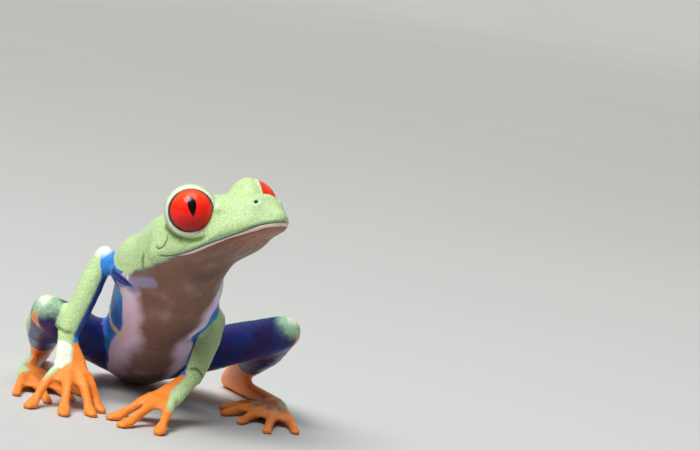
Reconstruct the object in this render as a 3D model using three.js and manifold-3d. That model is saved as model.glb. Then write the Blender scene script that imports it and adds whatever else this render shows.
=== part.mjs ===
// A life-size red-eyed tree frog (Agalychnis callidryas) sitting up on its hands, as a museum model.
// Millimetres, +Z up. The frog's trunk looks along -Y, its left side is +X, and the floor is Z = 0.
// Every piece is a loft along a spine. Neighbours are parted by cutting one with the other grown by GAP.
import * as THREE from "three";
import { mergeVertices } from "three/addons/utils/BufferGeometryUtils.js";
import Module from "manifold-3d";

const wasm = await Module();
wasm.setup();

const vec = (x, y, z) => new THREE.Vector3(x, y, z);
const rad = THREE.MathUtils.degToRad;
const UP = vec(0, 0, 1);

// ---------------------------------------------------------------- driving dimensions
const GAP = 0.3; // clear space between two touching pieces
const SLAB = 200; // side of the boxes that cut the floor and the parting planes

const EYE_MIDDLE = vec(4.2, -4.8, 33.0); // half way between the two eyeballs
const HEAD_YAW = rad(40.5); // head turned to the frog's left of its pelvis
const HEAD_PITCH = rad(23.5); // snout raised
const HEAD_ROLL = rad(3); // left side a little higher
const EYE_SPACING = 13.1; // between the eyeballs' centres
const EYE_LEAN = 0.33; // the left eye is raised by this, and the right one lowered
const LEFT_EYE_AHEAD = 0.6; // the left eye is turned out of its socket this far forwards
const EYE_RADIUS = 3.55;
const LID_RADIUS = 4.05;
const LID_PLANE = 1.5; // the lids end this far out from the eyeball's centre
const OPENING_DEPTH = 6; // the cheek is cleared this far in front of the lids
const OPENING_OUTER = 6.5; // and this wide at the far end of that
const GAZE_OUT = rad(50); // the eyes look this far out from straight ahead
const GAZE_UP = rad(0);

const FINGER_RADIUS = 0.8;
const TOE_RADIUS = 0.78;
const DISC_HALF_WIDTH = 1.4;
const WEB_THICKNESS = 0.6;
const WEB_HOLLOW = 0.32; // how far the web's free edge is hollowed, as a share of its length
const WEB_START = 0.1;
const DIGIT_SIDES = 6;

// ---------------------------------------------------------------- shape helpers

// A smooth curve through [position, value] pairs, as a function of position.
function profile(pairs) {
  const last = pairs.length - 1;
  return (x) => {
    let i = 0;
    while (i < last - 1 && x > pairs[i + 1][0]) i += 1;
    const at = (k) => pairs[Math.min(Math.max(k, 0), last)];
    const [x0, y0] = at(i);
    const [x1, y1] = at(i + 1);
    const slope = (k) => {
      const [xa, ya] = at(k - 1);
      const [xb, yb] = at(k + 1);
      return (yb - ya) / (xb - xa);
    };
    const span = x1 - x0;
    const t = Math.min(Math.max((x - x0) / span, 0), 1);
    const t2 = t * t;
    const t3 = t2 * t;
    return (
      (2 * t3 - 3 * t2 + 1) * y0 +
      (t3 - 2 * t2 + t) * span * slope(i) +
      (3 * t2 - 2 * t3) * y1 +
      (t3 - t2) * span * slope(i + 1)
    );
  };
}

// Moves a closed outline of [side, up] points outwards by grow.
function grown(outline, grow) {
  const n = outline.length;
  return outline.map(([x, y], i) => {
    const [ax, ay] = outline[(i + n - 1) % n];
    const [bx, by] = outline[(i + 1) % n];
    const length = Math.hypot(bx - ax, by - ay) || 1;
    return [x + ((by - ay) / length) * grow, y - ((bx - ax) / length) * grow];
  });
}

// An ellipse of half-width w, and half-heights above and below the spine.
function ellipse(w, above, below, sides) {
  return Array.from({ length: sides }, (_, i) => {
    const a = (i / sides) * 2 * Math.PI;
    const h = Math.sin(a) > 0 ? above : below;
    return [w * Math.cos(a), h * Math.sin(a)];
  });
}

// A closed body swept along a spine. outline(s) gives the section at s from 0 to 1, ends rounds the two ends
// off by that many millimetres, and grow makes the whole body that much larger on every side.
function loft(spine, outline, { rings = 10, up = UP, ends = [0, 0], grow = 0, capRings = 3 } = {}) {
  const tangent = (s) => spine.getTangent(s).normalize();
  const capShare = (k) => (k - 0.35) / capRings;
  const stations = [];
  for (let k = capRings; k >= 1 && ends[0] > 0; k -= 1) stations.push({ s: 0, over: -capShare(k) });
  for (let k = 0; k <= rings; k += 1) stations.push({ s: k / rings, over: 0 });
  for (let k = 1; k <= capRings && ends[1] > 0; k += 1) stations.push({ s: 1, over: capShare(k) });

  // How far past the spine's end a ring lies: caps reach over their rounding, a flat end moves out by grow.
  const offset = ({ s, over }) => {
    if (over !== 0) return over * (ends[s] + grow);
    if (s === 0 && ends[0] === 0) return -grow;
    return s === 1 && ends[1] === 0 ? grow : 0;
  };
  const ringAt = (station) => {
    const along = tangent(station.s);
    const side = new THREE.Vector3().crossVectors(along, up).normalize();
    const lift = new THREE.Vector3().crossVectors(side, along).normalize();
    const centre = spine.getPoint(station.s).addScaledVector(along, offset(station));
    const shrink = Math.sqrt(1 - station.over * station.over);
    return grown(outline(station.s), grow).map(([x, y]) =>
      centre.clone().addScaledVector(side, x * shrink).addScaledVector(lift, y * shrink));
  };
  const sections = stations.map(ringAt);
  const n = sections[0].length;
  const points = sections.flat();
  const first = points.push(spine.getPoint(0).addScaledVector(tangent(0), -ends[0] - grow)) - 1;
  const last = points.push(spine.getPoint(1).addScaledVector(tangent(1), ends[1] + grow)) - 1;
  const index = [];
  for (let r = 0; r < sections.length - 1; r += 1) {
    for (let i = 0; i < n; i += 1) {
      const a = r * n + i;
      const b = r * n + ((i + 1) % n);
      index.push(a, b, a + n, b, b + n, a + n);
    }
  }
  const top = (sections.length - 1) * n;
  for (let i = 0; i < n; i += 1) {
    const j = (i + 1) % n;
    index.push(first, j, i, last, top + i, top + j);
  }
  const geometry = new THREE.BufferGeometry().setFromPoints(points);
  geometry.setIndex(index);
  return geometry;
}

// A three.js geometry as a manifold-3d solid.
function solid(geometry) {
  const plain = geometry.clone();
  plain.deleteAttribute("normal");
  plain.deleteAttribute("uv");
  const merged = mergeVertices(plain, 1e-4);
  const vertProperties = merged.attributes.position.array;
  const make = (triVerts) => new wasm.Manifold(new wasm.Mesh({ numProp: 3, vertProperties, triVerts }));
  const triVerts = new Uint32Array(merged.index.array);
  const made = make(triVerts);
  return made.volume() > 0 ? made : make(triVerts.reverse());
}

// A solid box of these sizes, turned by a matrix.
const slab = (x, y, z, matrix) => solid(new THREE.BoxGeometry(x, y, z).applyMatrix4(matrix));

const floorSlab = slab(SLAB, SLAB, SLAB, new THREE.Matrix4().makeTranslation(0, 0, -SLAB / 2));

// The largest closed body of a solid, so that a sliver left by a cut is dropped.
function largest(made) {
  return made.decompose().sort((a, b) => b.volume() - a.volume())[0];
}

// A limb's length as a loft with elliptical sections between two joints, through an optional bend point.
function limb(points, width, height, { sides = 10, rings = 3, up = UP, ends = [1, 1] } = {}) {
  const spine = points.length > 2 ? new THREE.CatmullRomCurve3(points) : new THREE.LineCurve3(...points);
  const w = profile(width);
  const h = profile(height);
  return (grow = 0) =>
    solid(loft(spine, (s) => ellipse(w(s), h(s), h(s), sides), { rings, up, ends, grow, capRings: 2 }));
}

// ---------------------------------------------------------------- head

const forward = vec(
  Math.sin(HEAD_YAW) * Math.cos(HEAD_PITCH),
  -Math.cos(HEAD_YAW) * Math.cos(HEAD_PITCH),
  Math.sin(HEAD_PITCH),
);
const level = vec(Math.cos(HEAD_YAW), Math.sin(HEAD_YAW), 0);
const leftwards = level
  .clone()
  .multiplyScalar(Math.cos(HEAD_ROLL))
  .addScaledVector(new THREE.Vector3().crossVectors(forward, level), Math.sin(HEAD_ROLL));
const upwards = new THREE.Vector3().crossVectors(forward, leftwards);

// A point of the head: f ahead of the eyes, l to the frog's left, u above the eyes' line.
function headPoint(f, l, u) {
  return EYE_MIDDLE.clone()
    .addScaledVector(forward, f)
    .addScaledVector(leftwards, l)
    .addScaledVector(upwards, u);
}

// Outline of the head by distance f ahead of the eyes.
const HEAD_BACK = -8;
const HEAD_FRONT = 10.5;
const SNOUT_ROUND = 0.8;
const HEAD_AXIS = -3.6; // the head's loft runs this far below the eyes' line
const HEAD_SIDES = 18;
const crownHeight = profile([
  [-8, 1.4], [-4, 2.2], [0, 2.0], [4, 1.1], [8, 0.3], [9.7, -0.8], [10.5, -2.5],
]);
const canthusWidth = profile([
  [-8, 6.4], [-4, 6.6], [0, 5.6], [4, 4.4], [8, 3.2], [9.7, 2.2], [10.5, 1.3],
]);
const canthusHeight = profile([
  [-8, -1.0], [-4, 0.0], [0, 0.2], [4, 0.1], [8, -0.4], [9.7, -1.7], [10.5, -3.1],
]);
const lipWidth = profile([[-8, 8.4], [-4, 9.0], [0, 8.6], [4, 7.2], [8, 4.8], [9.7, 3.1], [10.5, 1.8]]);
const mouthHeight = profile([
  [-8, -5.8], [-4, -5.8], [0, -5.5], [4, -5.1], [8, -4.8], [9.7, -4.6], [10.5, -4.6],
]);
const chinHeight = profile([
  [-8, -8.9], [-4, -8.1], [0, -6.9], [4, -5.6], [8, -5.4], [9.7, -5.1], [10.5, -4.9],
]);

function headOutline(s) {
  const f = HEAD_BACK + s * (HEAD_FRONT - HEAD_BACK);
  const lip = lipWidth(f);
  const mouth = mouthHeight(f);
  const chin = chinHeight(f);
  const half = [
    [canthusWidth(f) * 0.55, crownHeight(f) * 0.9 + canthusHeight(f) * 0.1],
    [canthusWidth(f), canthusHeight(f)],
    [lip * 0.93, mouth + (canthusHeight(f) - mouth) * 0.42],
    [lip, mouth + 0.5],
    [lip * 0.87, mouth - Math.min(0.9, (mouth - chin) * 0.5)],
    [lip * 0.5, chin + (mouth - chin) * 0.2],
  ];
  const right = half.map(([x, y]) => vec(x, y, 0));
  const left = half.map(([x, y]) => vec(-x, y, 0)).reverse();
  const around = [vec(0, crownHeight(f), 0), ...right, vec(0, chin, 0), ...left];
  const loop = new THREE.CatmullRomCurve3(around, true);
  return Array.from({ length: HEAD_SIDES }, (_, i) => {
    const p = loop.getPoint(1 - i / HEAD_SIDES);
    return [p.x, p.y];
  });
}

function headSolid(grow = 0) {
  const spine = new THREE.LineCurve3(headPoint(HEAD_BACK, 0, 0), headPoint(HEAD_FRONT, 0, 0));
  const centred = (s) => headOutline(s).map(([x, y]) => [x, y - HEAD_AXIS]);
  spine.v1.addScaledVector(upwards, HEAD_AXIS);
  spine.v2.addScaledVector(upwards, HEAD_AXIS);
  return solid(loft(spine, centred, { rings: 9, up: upwards, ends: [1.5, SNOUT_ROUND], grow }));
}

const eyeAhead = (side) => (side > 0 ? LEFT_EYE_AHEAD : 0);

function eyeCentre(side) {
  return headPoint(eyeAhead(side), (side * EYE_SPACING) / 2, side * EYE_LEAN);
}

function gaze(side) {
  return forward
    .clone()
    .multiplyScalar(Math.cos(GAZE_OUT) * Math.cos(GAZE_UP))
    .addScaledVector(leftwards, side * Math.sin(GAZE_OUT) * Math.cos(GAZE_UP))
    .addScaledVector(upwards, Math.sin(GAZE_UP));
}

function ball(centre, radius, detail) {
  return solid(new THREE.IcosahedronGeometry(radius, detail).translate(centre.x, centre.y, centre.z));
}

// The raised lid round one eye: a ball, and the slope behind it.
function lid(side) {
  const slope = headPoint(eyeAhead(side) - 0.6, side * (EYE_SPACING / 2 - 2.1), side * EYE_LEAN - 0.9);
  return ball(eyeCentre(side), LID_RADIUS, 3).add(ball(slope, LID_RADIUS - 0.6, 1));
}

// All that lies outside the lids' edge and in front of the eyeball, as a flaring plug, and the socket itself.
function eyeOpening(side) {
  const turn = new THREE.Quaternion().setFromUnitVectors(UP, gaze(side));
  const middle = eyeCentre(side).addScaledVector(gaze(side), LID_PLANE + OPENING_DEPTH / 2);
  const plug = new THREE.CylinderGeometry(OPENING_OUTER, LID_RADIUS + 0.2, OPENING_DEPTH, 18);
  plug.rotateX(Math.PI / 2).applyQuaternion(turn).translate(middle.x, middle.y, middle.z);
  return solid(plug).add(ball(eyeCentre(side), EYE_RADIUS + GAP, 2));
}

const eyes = { right: ball(eyeCentre(-1), EYE_RADIUS, 2), left: ball(eyeCentre(1), EYE_RADIUS, 2) };
const wholeHead = [-1, 1].reduce(
  (made, side) => made.add(lid(side)).subtract(eyeOpening(side)),
  headSolid(),
);

// The closed mouth: a thin curved sheet that parts the lower jaw from the head, back to the mouth's corner.
const MOUTH_CORNER = -6.2;
const JAW_BACK = -6.6;
function mouthCut() {
  const steps = 12;
  const outline = new THREE.Shape();
  const at = (k) => MOUTH_CORNER - 1 + (k / steps) * (HEAD_FRONT + 3 - MOUTH_CORNER);
  outline.moveTo(at(0), mouthHeight(at(0)) + GAP / 2);
  for (let k = 1; k <= steps; k += 1) outline.lineTo(at(k), mouthHeight(at(k)) + GAP / 2);
  for (let k = steps; k >= 0; k -= 1) outline.lineTo(at(k), mouthHeight(at(k)) - GAP / 2);
  const sheet = new THREE.ExtrudeGeometry(outline, { depth: 30, bevelEnabled: false, curveSegments: 1 });
  sheet.translate(0, 0, -15);
  const frame = new THREE.Matrix4().makeBasis(forward, upwards, leftwards.clone().negate());
  frame.setPosition(EYE_MIDDLE);
  return solid(sheet.applyMatrix4(frame));
}

// A thin slab across the head, from below up to the mouth, that ends the lower jaw.
function jawBackCut() {
  const frame = new THREE.Matrix4().makeBasis(forward, leftwards, upwards);
  frame.setPosition(headPoint(JAW_BACK, 0, mouthHeight(JAW_BACK) - 10 + GAP / 2));
  return slab(GAP, 30, 20, frame);
}

const headPieces = wholeHead
  .subtract(mouthCut())
  .subtract(jawBackCut())
  .decompose()
  .sort((a, b) => b.volume() - a.volume());

// ---------------------------------------------------------------- trunk

const trunkSpine = new THREE.CatmullRomCurve3([
  vec(0, 34.5, 2.6),
  vec(0, 29.5, 4.6),
  vec(0.4, 21.5, 9.2),
  vec(0.3, 14.5, 14.2),
  vec(0.2, 8, 19.1),
  vec(0.2, 3.2, 23.1),
  headPoint(-6.5, 0, -3.9),
]);
const trunkWidth = profile([
  [0, 3.0], [0.15, 5.8], [0.35, 7.3], [0.52, 7.7], [0.7, 8.1], [0.85, 7.3], [1, 7.0],
]);
const trunkAbove = profile([
  [0, 2.0], [0.15, 4.2], [0.32, 6.0], [0.52, 6.1], [0.7, 6.5], [0.85, 6.8], [1, 6.0],
]);
const trunkBelow = profile([
  [0, 2.8], [0.15, 5.2], [0.35, 6.8], [0.52, 7.4], [0.7, 7.3], [0.85, 7.0], [1, 6.4],
]);
const SCAPULA_RADIUS = 4.2;
const scapulae = [vec(-4.5, 5.8, 22.6), vec(4.0, 6.9, 21.2)];

function trunkSolid(grow = 0) {
  const outline = (s) => ellipse(trunkWidth(s), trunkAbove(s), trunkBelow(s), 16);
  const body = solid(loft(trunkSpine, outline, { rings: 10, ends: [1.6, 0], grow }));
  const blades = scapulae.map((at) => ball(at, SCAPULA_RADIUS + grow, 1));
  return blades.reduce((made, blade) => made.add(blade), body).subtract(floorSlab);
}

const PELVIS_CUT = 24; // Y of the plane that parts the pelvis from the trunk
const pelvisPlane = slab(SLAB, GAP, SLAB, new THREE.Matrix4().makeTranslation(0, PELVIS_CUT, 0));
const headAndJaw = headSolid(GAP);
const trunkPieces = trunkSolid()
  .subtract(headAndJaw)
  .subtract(pelvisPlane)
  .decompose()
  .sort((a, b) => b.boundingBox().max[2] - a.boundingBox().max[2]);

// ---------------------------------------------------------------- limbs

// Joints of the two sides. The right arm props the chest from the side, the left hand reaches under the chin.
const JOINTS = {
  right: {
    side: -1,
    shoulder: vec(-6.3, 4.6, 19.2),
    elbow: vec(-9.7, 10.6, 22.0),
    wrist: vec(-13.7, 7.2, 9.3),
    knuckle: vec(-12.6, 4.2, 5.2),
    hip: vec(-4.2, 30.3, 4.4),
    knee: vec(-16.9, 9.9, 12.4),
    heel: vec(-14.5, 36.8, 1.4),
    ankle: vec(-17.6, 20.6, 1.2),
    handTurn: -2,
    footTurn: 16,
  },
  left: {
    side: 1,
    shoulder: vec(4.8, 4.8, 17.7),
    elbow: vec(8.7, 11.2, 14.6),
    wrist: vec(4.9, 1.3, 6.8),
    knuckle: vec(1.4, -1.2, 3.8),
    hip: vec(4.2, 28.7, 4.4),
    knee: vec(19.0, 9.2, 14.3),
    heel: vec(15.8, 35.5, 1.4),
    ankle: vec(21.2, 19.4, 1.2),
    handTurn: 46,
    footTurn: 22,
  },
};

const ARM_UP = vec(0, -1, 0);

function upperArm(j) {
  const thickness = [[0, 1.9], [0.5, 1.5], [1, 1.4]];
  return limb([j.shoulder, j.elbow], thickness, thickness, { up: ARM_UP, ends: [1, 1.3] });
}

function forearm(j) {
  return limb([j.elbow, j.wrist], [[0, 1.6], [0.4, 2.0], [1, 1.65]], [[0, 1.5], [0.4, 1.85], [1, 1.4]], {
    up: ARM_UP,
    ends: [1.5, 0.8],
  });
}

function thigh(j) {
  const thickness = [[0, 3.4], [0.4, 3.5], [0.8, 3.1], [1, 2.7]];
  return limb([j.hip, j.knee], thickness, thickness, { ends: [2.4, 2.3] });
}

function shank(j) {
  const thickness = [[0, 2.6], [0.2, 3.2], [0.5, 2.7], [1, 1.5]];
  return limb([j.knee, j.heel], thickness, thickness, { ends: [1.8, 1.5] });
}

function tarsus(j) {
  return limb([j.heel, j.ankle], [[0, 1.5], [0.5, 1.35], [1, 1.5]], [[0, 1.5], [0.5, 1.3], [1, 1.2]], {
    ends: [1.3, 1],
    sides: 8,
  });
}

// ---------------------------------------------------------------- hands and feet

// Each digit: length beyond the knuckles, spread in degrees to the outer side, how far outwards of the palm's
// middle it starts, and disc size as a share.
const FINGERS = [
  { length: 5.8, spread: -42, start: -1.4, disc: 0.8 },
  { length: 8.8, spread: -20, start: -0.6, disc: 0.92 },
  { length: 10.8, spread: 2, start: 0.4, disc: 1.0 },
  { length: 9.6, spread: 28, start: 1.5, disc: 0.96 },
];
const TOES = [
  { length: 7.8, spread: -46, start: -1.2, disc: 0.76 },
  { length: 10.6, spread: -26, start: -0.7, disc: 0.86 },
  { length: 13.8, spread: -7, start: 0, disc: 0.94 },
  { length: 16.8, spread: 9, start: 0.6, disc: 1.0 },
  { length: 13.8, spread: 24, start: 1.2, disc: 0.94 },
];

// A direction along the floor: turn is in degrees from straight ahead towards the frog's middle.
function heading(side, turn) {
  return vec(-side * Math.sin(rad(turn)), -Math.cos(rad(turn)), 0);
}

// The middle line of a digit: it leaves the palm at its root, bows down and runs out along the floor.
function digitSpine(root, way, length, radius) {
  const reach = (share, z) => root.clone().addScaledVector(way, length * share).setZ(z);
  return new THREE.CatmullRomCurve3([
    root.clone(),
    reach(0.28, Math.max(root.z * 0.92, radius + 0.45)),
    reach(0.58, Math.max(root.z * 0.5, radius + 0.4)),
    reach(0.82, 0.62),
    reach(1, 0.42),
  ]);
}

// One digit: a rod with a swelling at its last joint, and a flat round disc at its tip, resting on the floor.
function digit(spine, length, radius, disc, grow = 0) {
  const discHalf = DISC_HALF_WIDTH * disc;
  const neck = 1 - (2.1 * discHalf) / length;
  const width = profile([
    [0, radius * 1.15],
    [neck * 0.45, radius * 0.92],
    [neck * 0.6, radius * 1.12],
    [neck * 0.8, radius * 0.9],
    [neck, radius * 0.95],
    [(neck + 1) / 2, discHalf],
    [1, discHalf * 0.62],
  ]);
  const height = profile([[0, radius], [neck, radius * 0.9], [(neck + 1) / 2, 0.74], [1, 0.5]]);
  const outline = (s) => ellipse(width(s), height(s), height(s), DIGIT_SIDES);
  const made = solid(loft(spine, outline, { rings: 5, ends: [0, 0.45], capRings: 1, grow }));
  return made.subtract(floorSlab);
}

// The web between two digits: a thin sheet between their middle lines, with a hollowed free edge.
function web(spineA, spineB, share) {
  const along = 2;
  const across = 2;
  const points = [];
  for (const lift of [WEB_THICKNESS / 2, -WEB_THICKNESS / 2]) {
    for (let i = 0; i <= along; i += 1) {
      for (let k = 0; k <= across; k += 1) {
        const v = k / across;
        const edge = share * (1 - WEB_HOLLOW * 4 * v * (1 - v));
        const s = WEB_START + (edge - WEB_START) * (i / along);
        const p = spineA.getPoint(s).lerp(spineB.getPoint(s), v);
        p.z = Math.max(p.z, WEB_THICKNESS / 2 + 0.2) + lift;
        points.push(p);
      }
    }
  }
  const at = (layer, i, k) => layer * (along + 1) * (across + 1) + i * (across + 1) + k;
  const index = [];
  const quad = (a, b, c, d) => index.push(a, b, c, a, c, d);
  for (let i = 0; i < along; i += 1) {
    for (let k = 0; k < across; k += 1) {
      quad(at(0, i, k), at(0, i, k + 1), at(0, i + 1, k + 1), at(0, i + 1, k));
      quad(at(1, i, k), at(1, i + 1, k), at(1, i + 1, k + 1), at(1, i, k + 1));
    }
    quad(at(0, i, 0), at(0, i + 1, 0), at(1, i + 1, 0), at(1, i, 0));
    quad(at(0, i + 1, across), at(0, i, across), at(1, i, across), at(1, i + 1, across));
  }
  for (let k = 0; k < across; k += 1) {
    quad(at(0, 0, k + 1), at(0, 0, k), at(1, 0, k), at(1, 0, k + 1));
    quad(at(0, along, k), at(0, along, k + 1), at(1, along, k + 1), at(1, along, k));
  }
  const geometry = new THREE.BufferGeometry().setFromPoints(points);
  geometry.setIndex(index);
  return solid(geometry);
}

// All the digits of one hand or foot, each with the web towards the next one.
function digitsOf(root, side, turn, table, radius, palm, webShare) {
  const outwards = heading(side, turn - 90);
  const spines = table.map(({ length, spread, start }) => {
    const first = root.clone().addScaledVector(outwards, start);
    return digitSpine(first, heading(side, turn - spread), length, radius);
  });
  const rod = (k, grow) => digit(spines[k], table[k].length, radius, table[k].disc, grow);
  return table.map((entry, k) => {
    const last = k + 1 === table.length;
    const webbed = (made) => made.add(web(spines[k], spines[k + 1], webShare)).subtract(rod(k + 1, GAP));
    const made = last ? rod(k, 0) : webbed(rod(k, 0));
    return largest(made.subtract(palm(GAP)).subtract(floorSlab));
  });
}

// The palm of a hand, or the foot's sole up to the toes: it widens from the wrist and ends past the knuckles.
function palmOf(from, to, side, turn, length, width) {
  const end = to.clone().addScaledVector(heading(side, turn), length);
  end.z = Math.max(to.z * 0.78, 1.0);
  const widths = [[0, 1.6], [0.3, width * 0.85], [0.7, width], [1, width * 0.9]];
  return (grow = 0) =>
    limb([from, to, end], widths, [[0, 1.3], [0.6, 1.15], [1, 0.85]], {
      ends: [0.7, 0.9],
      rings: 3,
      sides: 8,
    })(grow).subtract(floorSlab);
}

// ---------------------------------------------------------------- assembly

const pieces = new Map();
pieces.set("head", headPieces[0]);
pieces.set("jaw", headPieces[1]);
pieces.set("trunk", trunkPieces[0]);
pieces.set("pelvis", trunkPieces[1]);
pieces.set("eye_right", eyes.right);
pieces.set("eye_left", eyes.left);

const fullTrunk = trunkSolid(GAP);

for (const [name, j] of Object.entries(JOINTS)) {
  const arm = upperArm(j);
  const fore = forearm(j);
  const leg = thigh(j);
  const calf = shank(j);
  const heelBone = tarsus(j);
  const palm = palmOf(j.wrist, j.knuckle, j.side, j.handTurn, 1.6, 3.0);
  const soleStart = j.ankle.clone();
  const soleEnd = j.ankle.clone().addScaledVector(heading(j.side, j.footTurn), 2.2);
  const sole = palmOf(soleStart, soleEnd, j.side, j.footTurn, 1.8, 2.8);

  pieces.set(`upper_arm_${name}`, largest(arm().subtract(fullTrunk).subtract(headAndJaw)));
  pieces.set(`forearm_${name}`, largest(fore().subtract(arm(GAP)).subtract(fullTrunk)));
  pieces.set(`hand_${name}`, largest(palm().subtract(fore(GAP)).subtract(fullTrunk)));
  pieces.set(`thigh_${name}`, largest(leg().subtract(fullTrunk).subtract(floorSlab)));
  pieces.set(`shank_${name}`, largest(calf().subtract(leg(GAP)).subtract(fullTrunk).subtract(floorSlab)));
  const cutTarsus = heelBone().subtract(calf(GAP)).subtract(leg(GAP)).subtract(fullTrunk).subtract(floorSlab);
  pieces.set(`tarsus_${name}`, largest(cutTarsus));
  pieces.set(`foot_${name}`, largest(sole().subtract(heelBone(GAP)).subtract(calf(GAP))));

  digitsOf(j.knuckle, j.side, j.handTurn, FINGERS, FINGER_RADIUS, palm, 0.5).forEach((made, k) =>
    pieces.set(`finger_${k + 1}_${name}`, made));
  digitsOf(soleEnd, j.side, j.footTurn, TOES, TOE_RADIUS, sole, 0.75).forEach((made, k) =>
    pieces.set(`toe_${k + 1}_${name}`, made.subtract(calf(GAP))));
}

// ---------------------------------------------------------------- materials and scene graph

const skin = (color, roughness = 0.45) => new THREE.MeshStandardMaterial({ color, roughness, metalness: 0 });
const MATERIALS = [
  [/^(head|upper_arm|forearm|shank|tarsus)/, skin(0x7cc84a)],
  [/^(jaw|trunk|pelvis)/, skin(0xe8ddd0)],
  [/^thigh/, skin(0x2a3a8c)],
  [/^(hand|finger|foot|toe)/, skin(0xf06a10)],
  [/^eye/, skin(0xd81408, 0.08)],
];

function meshOf(name, made) {
  const { vertProperties, triVerts, numProp } = made.getMesh();
  const geometry = new THREE.BufferGeometry();
  const positions = new Float32Array((vertProperties.length / numProp) * 3);
  for (let i = 0; i < positions.length / 3; i += 1) {
    positions.set(vertProperties.subarray(i * numProp, i * numProp + 3), i * 3);
  }
  geometry.setAttribute("position", new THREE.BufferAttribute(positions, 3));
  geometry.setIndex(new THREE.BufferAttribute(triVerts, 1));
  geometry.computeVertexNormals();
  const mesh = new THREE.Mesh(geometry, MATERIALS.find(([pattern]) => pattern.test(name))[1]);
  mesh.name = name;
  return mesh;
}

const frog = new THREE.Group();
frog.name = "red_eyed_tree_frog";
for (const [name, made] of pieces) frog.add(meshOf(name, made));

// The origin is the middle of the frog's footprint, on the floor.
const extent = new THREE.Box3().setFromObject(frog);
frog.position.set(-(extent.min.x + extent.max.x) / 2, -(extent.min.y + extent.max.y) / 2, 0);

export default frog;
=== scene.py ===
import math
from types import SimpleNamespace

import bmesh
import bpy
import numpy as np
from bpy.props import FloatProperty, FloatVectorProperty, PointerProperty
from mathutils import Matrix, Vector, noise
from mathutils.bvhtree import BVHTree


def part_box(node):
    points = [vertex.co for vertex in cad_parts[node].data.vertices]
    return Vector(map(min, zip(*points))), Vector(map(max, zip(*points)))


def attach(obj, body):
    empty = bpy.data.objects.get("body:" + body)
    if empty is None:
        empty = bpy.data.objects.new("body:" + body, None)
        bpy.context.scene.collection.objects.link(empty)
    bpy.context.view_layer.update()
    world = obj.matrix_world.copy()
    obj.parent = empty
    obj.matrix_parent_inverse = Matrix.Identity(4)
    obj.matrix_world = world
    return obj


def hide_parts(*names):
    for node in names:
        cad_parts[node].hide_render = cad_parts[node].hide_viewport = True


bl_info = {
    "name": "Red-eyed tree frog",
    "version": (1, 0, 0),
    "blender": (4, 5, 0),
    "location": "3D View > Sidebar > Tree frog",
    "description": "Skin, eyes and studio of a life-size red-eyed tree frog",
    "category": "Object",
}

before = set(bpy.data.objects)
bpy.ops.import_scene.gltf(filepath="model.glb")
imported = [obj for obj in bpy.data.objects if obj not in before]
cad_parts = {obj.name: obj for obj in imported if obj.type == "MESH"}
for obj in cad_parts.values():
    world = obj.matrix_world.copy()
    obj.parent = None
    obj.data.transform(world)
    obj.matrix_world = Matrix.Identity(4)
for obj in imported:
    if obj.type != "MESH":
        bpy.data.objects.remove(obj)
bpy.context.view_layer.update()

# ------ the frog's own measures, in millimetres

MM = 0.001
SIDES = {"right": -1, "left": 1}  # the frog's left is +X


def v3(x, y, z):
    return np.array((x, y, z), float)


def unit(v):
    return v / np.linalg.norm(v)


def node_middle(name):
    lowest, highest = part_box(name)
    return np.array((lowest + highest) / 2) / MM


HEAD_YAW = math.radians(40.5)
HEAD_PITCH = math.radians(23.5)
HEAD_ROLL = math.radians(3)
FORWARD = v3(
    math.sin(HEAD_YAW) * math.cos(HEAD_PITCH),
    -math.cos(HEAD_YAW) * math.cos(HEAD_PITCH),
    math.sin(HEAD_PITCH),
)
LEVEL = v3(math.cos(HEAD_YAW), math.sin(HEAD_YAW), 0)
LEFTWARDS = LEVEL * math.cos(HEAD_ROLL) + np.cross(FORWARD, LEVEL) * math.sin(HEAD_ROLL)
UPWARDS = np.cross(FORWARD, LEFTWARDS)
HEAD_AXES = np.stack((FORWARD, LEFTWARDS, UPWARDS), 1)

# The pose has its own origin, which the eyes fix in the frame.
EYE_MIDDLE = v3(4.2, -4.8, 33.0)
LEFT_EYE_AHEAD = 0.6
EYES_IN_FRAME = {side: node_middle(f"eye_{side}") for side in SIDES}
POSE_ORIGIN = (EYES_IN_FRAME["right"] + EYES_IN_FRAME["left"] - FORWARD * LEFT_EYE_AHEAD) / 2 - EYE_MIDDLE
EYES = {side: place - POSE_ORIGIN for side, place in EYES_IN_FRAME.items()}
EYE_RADIUS = 3.5
CORNEA_BULGE = 0.014  # share of the radius

# The trunk's middle line, from the rump to the neck.
TRUNK_SPINE = np.array((
    (0, 34.5, 2.6), (0, 29.5, 4.6), (0.4, 21.5, 9.2), (0.3, 14.5, 14.2),
    (0.2, 8, 19.1), (0.2, 3.2, 23.1), (1.5, -1.3, 26.8),
))

# The joints of each side's limbs.
SHOULDER = {"right": v3(-6.3, 4.6, 19.2), "left": v3(4.8, 4.8, 17.7)}
ELBOW = {"right": v3(-9.7, 10.6, 22.0), "left": v3(8.7, 11.2, 14.6)}
WRIST = {"right": v3(-13.7, 7.2, 9.3), "left": v3(4.9, 1.3, 6.8)}
KNUCKLE = {"right": v3(-12.6, 4.2, 5.2), "left": v3(1.4, -1.2, 3.8)}
HIP = {"right": v3(-4.2, 30.3, 4.4), "left": v3(4.2, 28.7, 4.4)}
KNEE = {"right": v3(-16.9, 9.9, 12.4), "left": v3(19.0, 9.2, 14.3)}
HEEL = {"right": v3(-14.5, 36.8, 1.4), "left": v3(15.8, 35.5, 1.4)}
ANKLE = {"right": v3(-17.6, 20.6, 1.2), "left": v3(21.2, 19.4, 1.2)}
HAND_TURN = {"right": -2, "left": 46}
FOOT_TURN = {"right": 16, "left": 22}
OUTER_FINGER = (9.6, 28, 1.5)  # length, spread in degrees, and start beside the palm's middle
OUTER_TOE = (13.8, 24, 1.2)

# ------ small mathematics on many points at once


def lengths(v):
    return np.sqrt((v * v).sum(1))


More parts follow.
